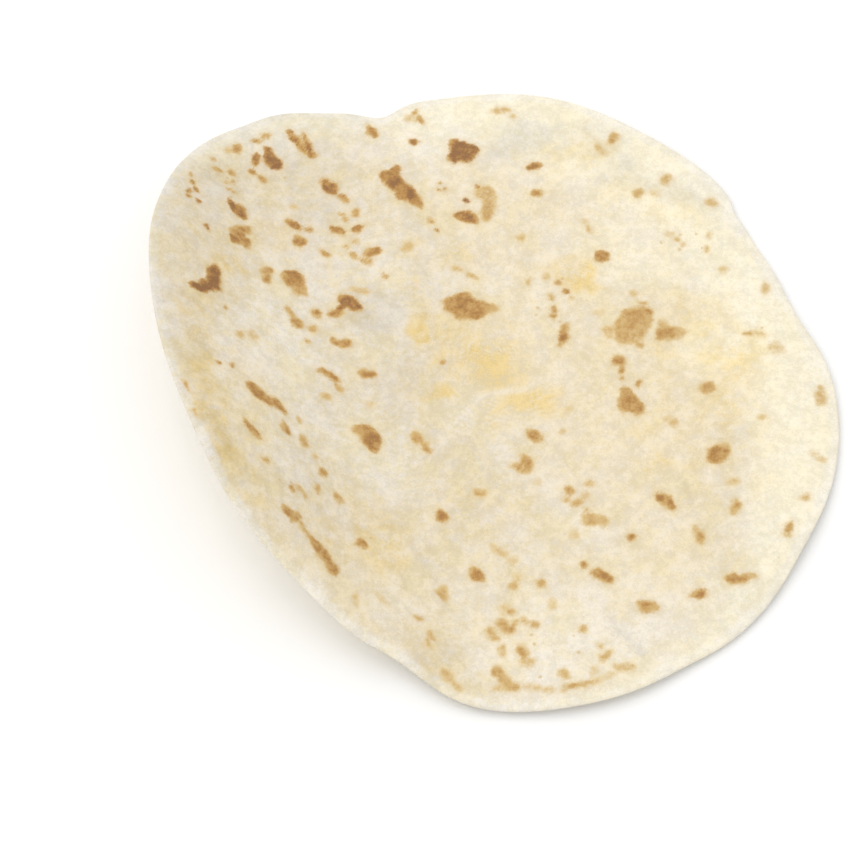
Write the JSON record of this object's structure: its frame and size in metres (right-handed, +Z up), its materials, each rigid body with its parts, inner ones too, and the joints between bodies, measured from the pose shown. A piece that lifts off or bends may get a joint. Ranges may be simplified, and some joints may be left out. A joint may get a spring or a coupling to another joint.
{
  "type": "tortilla wrap",
  "caption": "Plain round flour tortilla wrap: a thin soft sheet of baked dough with toasted spots, lying flat with one side bent up, ready to be filled and rolled.",
  "frame": {"origin": "on the table, under the middle of the wrap's bounding box", "axes": "+Z up from the table, +X to the right and +Y away from the viewer as the wrap lies in the picture"},
  "size_m": [0.2368, 0.2444, 0.0422],
  "materials": {
    "dough": "matte floury cream dough with uneven brown toasted spots and low blisters"
  },
  "bodies": {
    "root": {"tortilla": "dough"}
  },
  "joints": []
}
